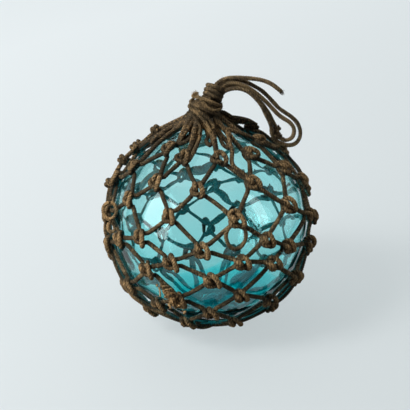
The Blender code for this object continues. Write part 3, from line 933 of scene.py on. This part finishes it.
def makeLanyard(finish):
    fuzz = RopeMesh()
    out, deep = lanyard["inNeckShares"]
    buried = fromMiddle([lanyard["inNeck"]])
    perStep, *hairSize = lanyard["fuzz"]
    for name, (node, key, farEnd, shade) in lanyard["ropes"].items():
        stops = fromMiddle(lanyard[key])
        stops = np.vstack((stops[0] * out + buried * deep, stops))
        if farEnd == "object":
            stops = np.vstack((stops, stops[-1] * out + buried * deep))
        points = smoothLine(stops, lanyard["step"])
        mesh = RopeMesh()
        mesh.add(points, lanyard["diameter"], shade, groove=lanyard["groove"])
        makeFuzz(fuzz, mesh.lines, round(len(points) * perStep), *hairSize)
        if key == "inner":
            fraySpot(fuzz, mesh.lines, points)
        else:
            brushEnd(fuzz, points)
        piece = mesh.finish(name, finish)
        settle(piece, node)
    settle(fuzz.finish("lanyardFuzz", finish))


def fraySpot(fuzz, lines, points):
    spot, reach, fray = lanyard["frayed"]
    spot = fromMiddle(spot)
    near = points[np.linalg.norm(points - spot, axis=1) < reach]
    makeUnlaid(fuzz, near, **lanyard["unlaid"])
    makeFray(fuzz, lines, spot, *fray)


def brushEnd(fuzz, points):
    count, spread, waver, length, width, shade = lanyard["brush"]
    roots = points[-1] + chance.normal(0, spread, (count, 3))
    ways = points[-1] - points[-1 - lanyard["endWay"]] + chance.normal(0, waver, (count, 3))
    fuzz.addHairs(roots, ways, length, width, shade)


weave = {  # what the ropes' finishes share; each pattern is its scale, detail and roughness
    "fibre": (1500, 4, 0.65),
    "patches": (90, 4, 0.6),
    "grains": (650, 4, 0.7),
    "drawnOut": 0.35,  # how the fibres are stretched along the rope
    "tone": (0.45, 1.1, 0.7, 0.6),  # shares of crown, fibre, grains and shade
    "darkTone": 0.97,  # more is darker
    "raised": (0.8, 0.2),  # how much more the crowns show bleaching, wear and its painted highlight, and what the grooves show
    "sunned": (0.6, 0.8, 0.3),  # shares of patches, grains and shade
    "bleached": (0.79, 1.01),
    # the worn places also carry a painted highlight on a knot's outer bends
    "rubbedAndHighlit": (0.6, 0.7, 0.4),  # shares of grains, fibre and shade
    "wornAndHighlit": (0.62, 1.02),
    "wornAndHighlitFrom": (4.6 * mm, 7.6 * mm),  # off the glass, where wear and its painted highlight set in, and where they end
    "wornAndHighlitTo": (16 * mm, 9 * mm),
    "lit": (5 * mm, 2 * mm),  # off the glass, where the painted glass light reaches the rope
    "litTurn": (-0.2, -0.75),  # how far the surface is turned to the glass there
    "litTone": (0.6, 0.4),  # how much more it shows on light rope, and what dark rope shows
    # teal glow painted on the rope's side that rests on the glass, standing in for light through it
    "glassLight": (0.005, 0.082, 0.092),
    "rough": (0.88, 0.12),  # in the grooves, and how much less on the crowns
    "relief": (0.7, 0.6),  # shares of fibre and grains
    "bump": (0.45 * mm, 0.9),
}
ropeTones = {  # the darkest tone, in the grooves and where a rope carries painted shade; the rope itself; bleached; and worn with a painted highlight
    "tarredRope": ((0.012, 0.009, 0.006), (0.080, 0.059, 0.033), (0.30, 0.208, 0.104), (0.52, 0.32, 0.14)),
    "whippingTwine": ((0.018, 0.014, 0.009), (0.10, 0.072, 0.040), (0.33, 0.22, 0.105), (0.32, 0.21, 0.095)),
    "lanyardRope": ((0.020, 0.016, 0.011), (0.092, 0.065, 0.038), (0.28, 0.195, 0.10), (0.28, 0.195, 0.10)),
}


def blend(shares, *parts):
    first, *others = [part * share for part, share in zip(parts, shares)]
    for other in others:
        first = first + other
    return first


def makeRopeFinish(name):
    finish = Finish(name, IOR=1.45, Specular_IOR_Level=0.25, Emission_Strength=1.0)
    darkTone, own, bleached, wornAndHighlit = ropeTones[name]
    place = finish.place()
    crown = finish.attribute("crown")
    shade = finish.attribute("shade")
    yarn = finish.vector("MULTIPLY", finish.attribute("yarn", "Vector"), (1, 1, weave["drawnOut"]))
    fibre = finish.noise(yarn, *weave["fibre"])
    patches = finish.noise(place, *weave["patches"])
    grains = finish.noise(place, *weave["grains"])
    off = finish.vector("DISTANCE", place, tuple(ballCentre), out="Value")

    def between(heights):  # a mask by the height off the glass
        return finish.step(off, ballRadius + heights[0], ballRadius + heights[1])

    more, least = weave["raised"]
    raised = crown * more + least
    # tone: darker in the grooves, and darker where the shade attribute carries painted shade
    tone = (blend(weave["tone"], crown, fibre, grains, shade) - weave["darkTone"]).limit()
    base = finish.mix(tone, darkTone, own)
    sunned = finish.step(blend(weave["sunned"], patches, grains, shade), *weave["bleached"]) * raised
    base = finish.mix(sunned, base, bleached)
    # lighter on the bends that stand off the glass: real wear together with a painted highlight
    rubbedAndHighlit = finish.step(blend(weave["rubbedAndHighlit"], grains, fibre, shade), *weave["wornAndHighlit"]) * raised
    base = finish.mix(between(weave["wornAndHighlitFrom"]) * between(weave["wornAndHighlitTo"]) * rubbedAndHighlit, base, wornAndHighlit)
    finish.give("Base Color", base)
    rough, less = weave["rough"]
    finish.give("Roughness", rough - crown * less)
    # painted light: a teal glow on the side that rests on the glass stands in for the light that comes
    # through it
    outward = finish.vector("NORMALIZE", finish.vector("SUBTRACT", place, tuple(ballCentre)))
    normal = finish.node("ShaderNodeNewGeometry", {}, {}, "Normal")
    turned = finish.vector("DOT_PRODUCT", outward, normal, out="Value")
    more, least = weave["litTone"]
    lit = between(weave["lit"]) * (tone * more + least) * finish.step(turned, *weave["litTurn"])
    finish.give("Emission Color", finish.mix(lit, (0, 0, 0), weave["glassLight"]))
    finish.bump(blend(weave["relief"], fibre, grains), *weave["bump"])
    return finish


glass = {
    "wall": (1.75 * mm, 4.8 * mm),  # at the top and at the bottom
    "wallGrowth": 2.6,  # more keeps the thick part lower
    "segments": (128, 80),
    "outer": ((28, 0.28), (75, 0.06)),  # waves: scale, and depth in mm
    "sunk": 0.2,  # mm, so that the waves stay inside the CAD's ball
    "inner": ((55, 0.5), (130, 0.12)),
    "innerShift": (3, 1, 2),  # keeps the inner waves unlike the outer ones
    "bend": (1.5, 1.08),  # how strongly light bends in the ball, and in the seal inside it
    "rough": 0.012,
    "tint": (0.04, 0.85, 0.862),
    "density": 225,
    "swirls": (  # thick glass where the ball was sealed, dense enough to also give painted shade for the dark ropes and shadow seen refracted at the bottom: latitude, longitude, radius and height in mm
        (-62, 113, 13, 6.5), (-79, 8, 13, 4.5), (-73, 75, 7, 5), (-80, 60, 50, 1.3),
    ),
    "swirlSegments": (48, 24),
    "swirlGap": (0.3, 0.1),  # mm off the wall, and mm more for each next lump
    "swirlEdge": (1.6, 0.22),  # how often and how much a lump's edge leaves its circle
    "swirlCurl": (3, 7, 0.24),  # arms, how fast they turn, how deep they are
    # the seal's deep tint, partly painted shade
    "swirlDensity": 1900,
    "swirlGlow": (0, 0.032, 0.037),  # painted glow that stands in for light wandering inside the thick glass
    "bubbles": {"count": 16, "latitudes": (-50, 55), "sizes": (0.3, 0.75), "deep": 1.4 * mm,
                "lengths": (0.8, 1.5)},
}


def deselect():
    bpy.ops.object.select_all(action="DESELECT")


def makeShell(wave):
    deselect()
    segments, rings = glass["segments"]
    bpy.ops.mesh.primitive_uv_sphere_add(segments=segments, ring_count=rings, radius=ballRadius,
                                         location=tuple(ballCentre))
    shell = bpy.context.object
    bpy.ops.object.transform_apply(location=True, rotation=True, scale=True)
    for vert in shell.data.vertices:
        out = vert.co - ballMiddle
        vert.co += out.normalized() * wave(out)
    shell.data.shade_smooth()
    return shell


def outerWave(out):
    # hand-blown glass is never quite round
    return (sum(field.noise(out * scale) * depth for scale, depth in glass["outer"]) - glass["sunk"]) * mm


def wallAt(out):
    low = 0.5 - out.normalized().z / 2
    thin, thick = glass["wall"]
    (broad, deep), (fine, shallow) = glass["inner"]
    ripple = field.noise(out * broad + Vector(glass["innerShift"])) * deep
    ripple += field.noise(out * fine) * shallow
    return thin + (thick - thin) * low**glass["wallGrowth"] + ripple * mm


def makeGlass():
    ball = makeShell(outerWave)
    ball.name = "glassBall"
    inner = [makeShell(lambda out: -wallAt(out))]
    for _ in range(glass["bubbles"]["count"]):
        inner.append(makeBubble())
    for piece in inner:
        piece.data.flip_normals()  # an inner wall faces the hollow
        piece.select_set(True)
    ball.select_set(True)
    bpy.context.view_layer.objects.active = ball
    bpy.ops.object.join()
    ball.data.materials.clear()
    ball.data.materials.append(makeGlassFinish("seaGlass", glass["density"], glass["bend"][0]).material)
    print("glass ball done")
    return ball


def makeBubble():
    size = glass["bubbles"]
    up, turn = chance.uniform(*size["latitudes"]), chance.uniform(-180, 180)
    radius = chance.uniform(*size["sizes"]) * mm
    middle = ballCentre + unit(onNet(up, turn) - ballCentre) * (ballRadius - size["deep"])
    deselect()
    bpy.ops.mesh.primitive_ico_sphere_add(subdivisions=2, radius=radius, location=tuple(middle))
    bubble = bpy.context.object
    bpy.ops.transform.resize(value=(1, 1, chance.uniform(*size["lengths"])))
    bpy.ops.object.transform_apply(location=True, rotation=True, scale=True)
    bubble.data.shade_smooth()
    return bubble


def makeGlassFinish(name, density, bend):
    finish = Finish(name, Transmission_Weight=1.0, IOR=bend, Roughness=glass["rough"])
    finish.give("Base Color", (1, 1, 1))
    absorb = finish.node("ShaderNodeVolumeAbsorption", {},
                         {"Color": glass["tint"], "Density": density}, "Volume")
    finish.feed(finish.tree.nodes["Material Output"].inputs["Volume"], absorb)
    return finish


def makeLump(index, latitude, longitude, radius, height):
    out = Vector(unit(onNet(latitude, longitude) - ballCentre))
    across = out.orthogonal().normalized()
    other = out.cross(across)
    gap, more = glass["swirlGap"]
    waves, uneven = glass["swirlEdge"]
    arms, twist, deep = glass["swirlCurl"]
    deselect()
    segments, rings = glass["swirlSegments"]
    bpy.ops.mesh.primitive_uv_sphere_add(segments=segments, ring_count=rings, radius=1)
    lump = bpy.context.object
    for vert in lump.data.vertices:
        x, y, z = vert.co
        edge = 1 + uneven * field.noise(Vector((x * waves, y * waves, index)))
        far = math.hypot(x, y)
        curl = deep * math.sin(math.atan2(y, x) * arms + far * twist) * far
        place = out * ballRadius + (across * x + other * y) * radius * mm * edge
        wall = wallAt(place) + (gap + more * index) * mm
        rise = max(z, 0) * (1 + curl) * height * mm
        vert.co = ballMiddle + place.normalized() * (ballRadius - wall - rise)
    lump.data.flip_normals()
    return lump


def makeSwirls():
    # lumps of deep glass on the inside of the wall
    finish = makeGlassFinish("sealGlass", glass["swirlDensity"], glass["bend"][1])
    # painted glow: the seal glass lights itself a little
    finish.give("Emission Color", glass["swirlGlow"])
    finish.give("Emission Strength", 1.0)
    lumps = [makeLump(index, *size) for index, size in enumerate(glass["swirls"])]
    for lump in lumps:
        lump.select_set(True)
    bpy.ops.object.join()
    swirl = bpy.context.object
    swirl.name = "sealSwirl"
    swirl.data.shade_smooth()
    swirl.data.materials.append(finish.material)
    print("seal done")
    return swirl


studio = {
    "floor": (0.165, 0.17, 0.172),
    "floorSize": 8,
    "floorRough": 0.7,
    "glowLeft": (0.628, 0.676, 0.691),  # the floor is lit from within, so its shadows stay faint
    "glowRight": (0.42, 0.465, 0.475),
    "glowTurn": (0.8, 0.9, 0.68),  # how fast it goes over towards +X and -Y, and how far it is at 0
    "skyFront": (0.055, 0.06, 0.06),
    "skyBack": (0.62, 0.67, 0.69),
    "skyLow": (0.05, 0.05, 0.045),
    "skyTurn": (-0.35, 0.75),  # from the front of the sky to its back
    "skyRise": (-0.3, 0.05),
    "boxes": (  # name, way from the ball, distance, size in m, power in W, seen in the glass
        ("leftBox", (-0.85, -0.377, 0.361), 1.3, (0.85, 0.95), 12, True),
        ("rightBox", (0.83, -0.337, 0.441), 1.4, (0.3, 0.8), 2.2, True),
        ("topBox", (-0.35, 0.2, 1), 1.6, (1.6, 1.6), 4.5, True),
        ("keyBox", (-0.7, -0.4, 0.9), 1.2, (0.35, 0.35), 12, False),
    ),
}


def makeFloor():
    deselect()
    bpy.ops.mesh.primitive_plane_add(size=studio["floorSize"], location=(0, 0, 0))
    floor = bpy.context.object
    floor.name = "floor"
    finish = Finish("paleFloor", Roughness=studio["floorRough"], Emission_Strength=1.0)
    finish.give("Base Color", studio["floor"])
    x, y, _ = finish.split(finish.place())
    right, front, start = studio["glowTurn"]
    share = (x * right - y * front + start).limit()
    finish.give("Emission Color", finish.mix(share, studio["glowLeft"], studio["glowRight"]))
    floor.data.materials.append(finish.material)
    floor.visible_diffuse = False  # the undersides stay dark


def makeSky():
    world = bpy.data.worlds.new("studio")
    world.use_nodes = True
    sky = Nodes(world.node_tree)
    _, away, up = sky.split(sky.node("ShaderNodeTexCoord", {}, {}, "Generated"))
    turned = sky.step(away, *studio["skyTurn"])
    colour = sky.mix(turned, studio["skyFront"], studio["skyBack"])
    colour = sky.mix(sky.step(up, *studio["skyRise"]), studio["skyLow"], colour)
    sky.feed(sky.tree.nodes["Background"].inputs["Color"], colour)
    bpy.context.scene.world = world


def makeSoftbox(name, way, distance, size, power, seen):
    data = bpy.data.lights.new(name, "AREA")
    data.shape = "RECTANGLE"
    data.size, data.size_y = size
    data.energy = power
    spot = ballMiddle + Vector(way).normalized() * distance
    lamp = aimed(name, data, spot, ballMiddle - spot)
    lamp.visible_glossy = lamp.visible_transmission = seen


def makeStudio():
    makeFloor()
    makeSky()
    for box in studio["boxes"]:
        makeSoftbox(*box)
    bpy.context.scene.view_settings.view_transform = "Standard"
    print("studio done")


def settle(piece, node=None):
    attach(piece, "root")
    if node:
        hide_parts(node)


makeCamera()
netRope, twine, cordage = [makeRopeFinish(name) for name in ropeTones]
makeLanyard(cordage)
for piece in makeNet(netRope):
    settle(piece, "rope_net")
settle(makeNeckCore(netRope))
settle(makeUpperWhipping(twine), "neck_whipping_upper")
settle(makeLowerWhipping(twine), "neck_whipping_lower")
settle(makeGlass(), "glass_ball")
settle(makeSwirls())
makeStudio()
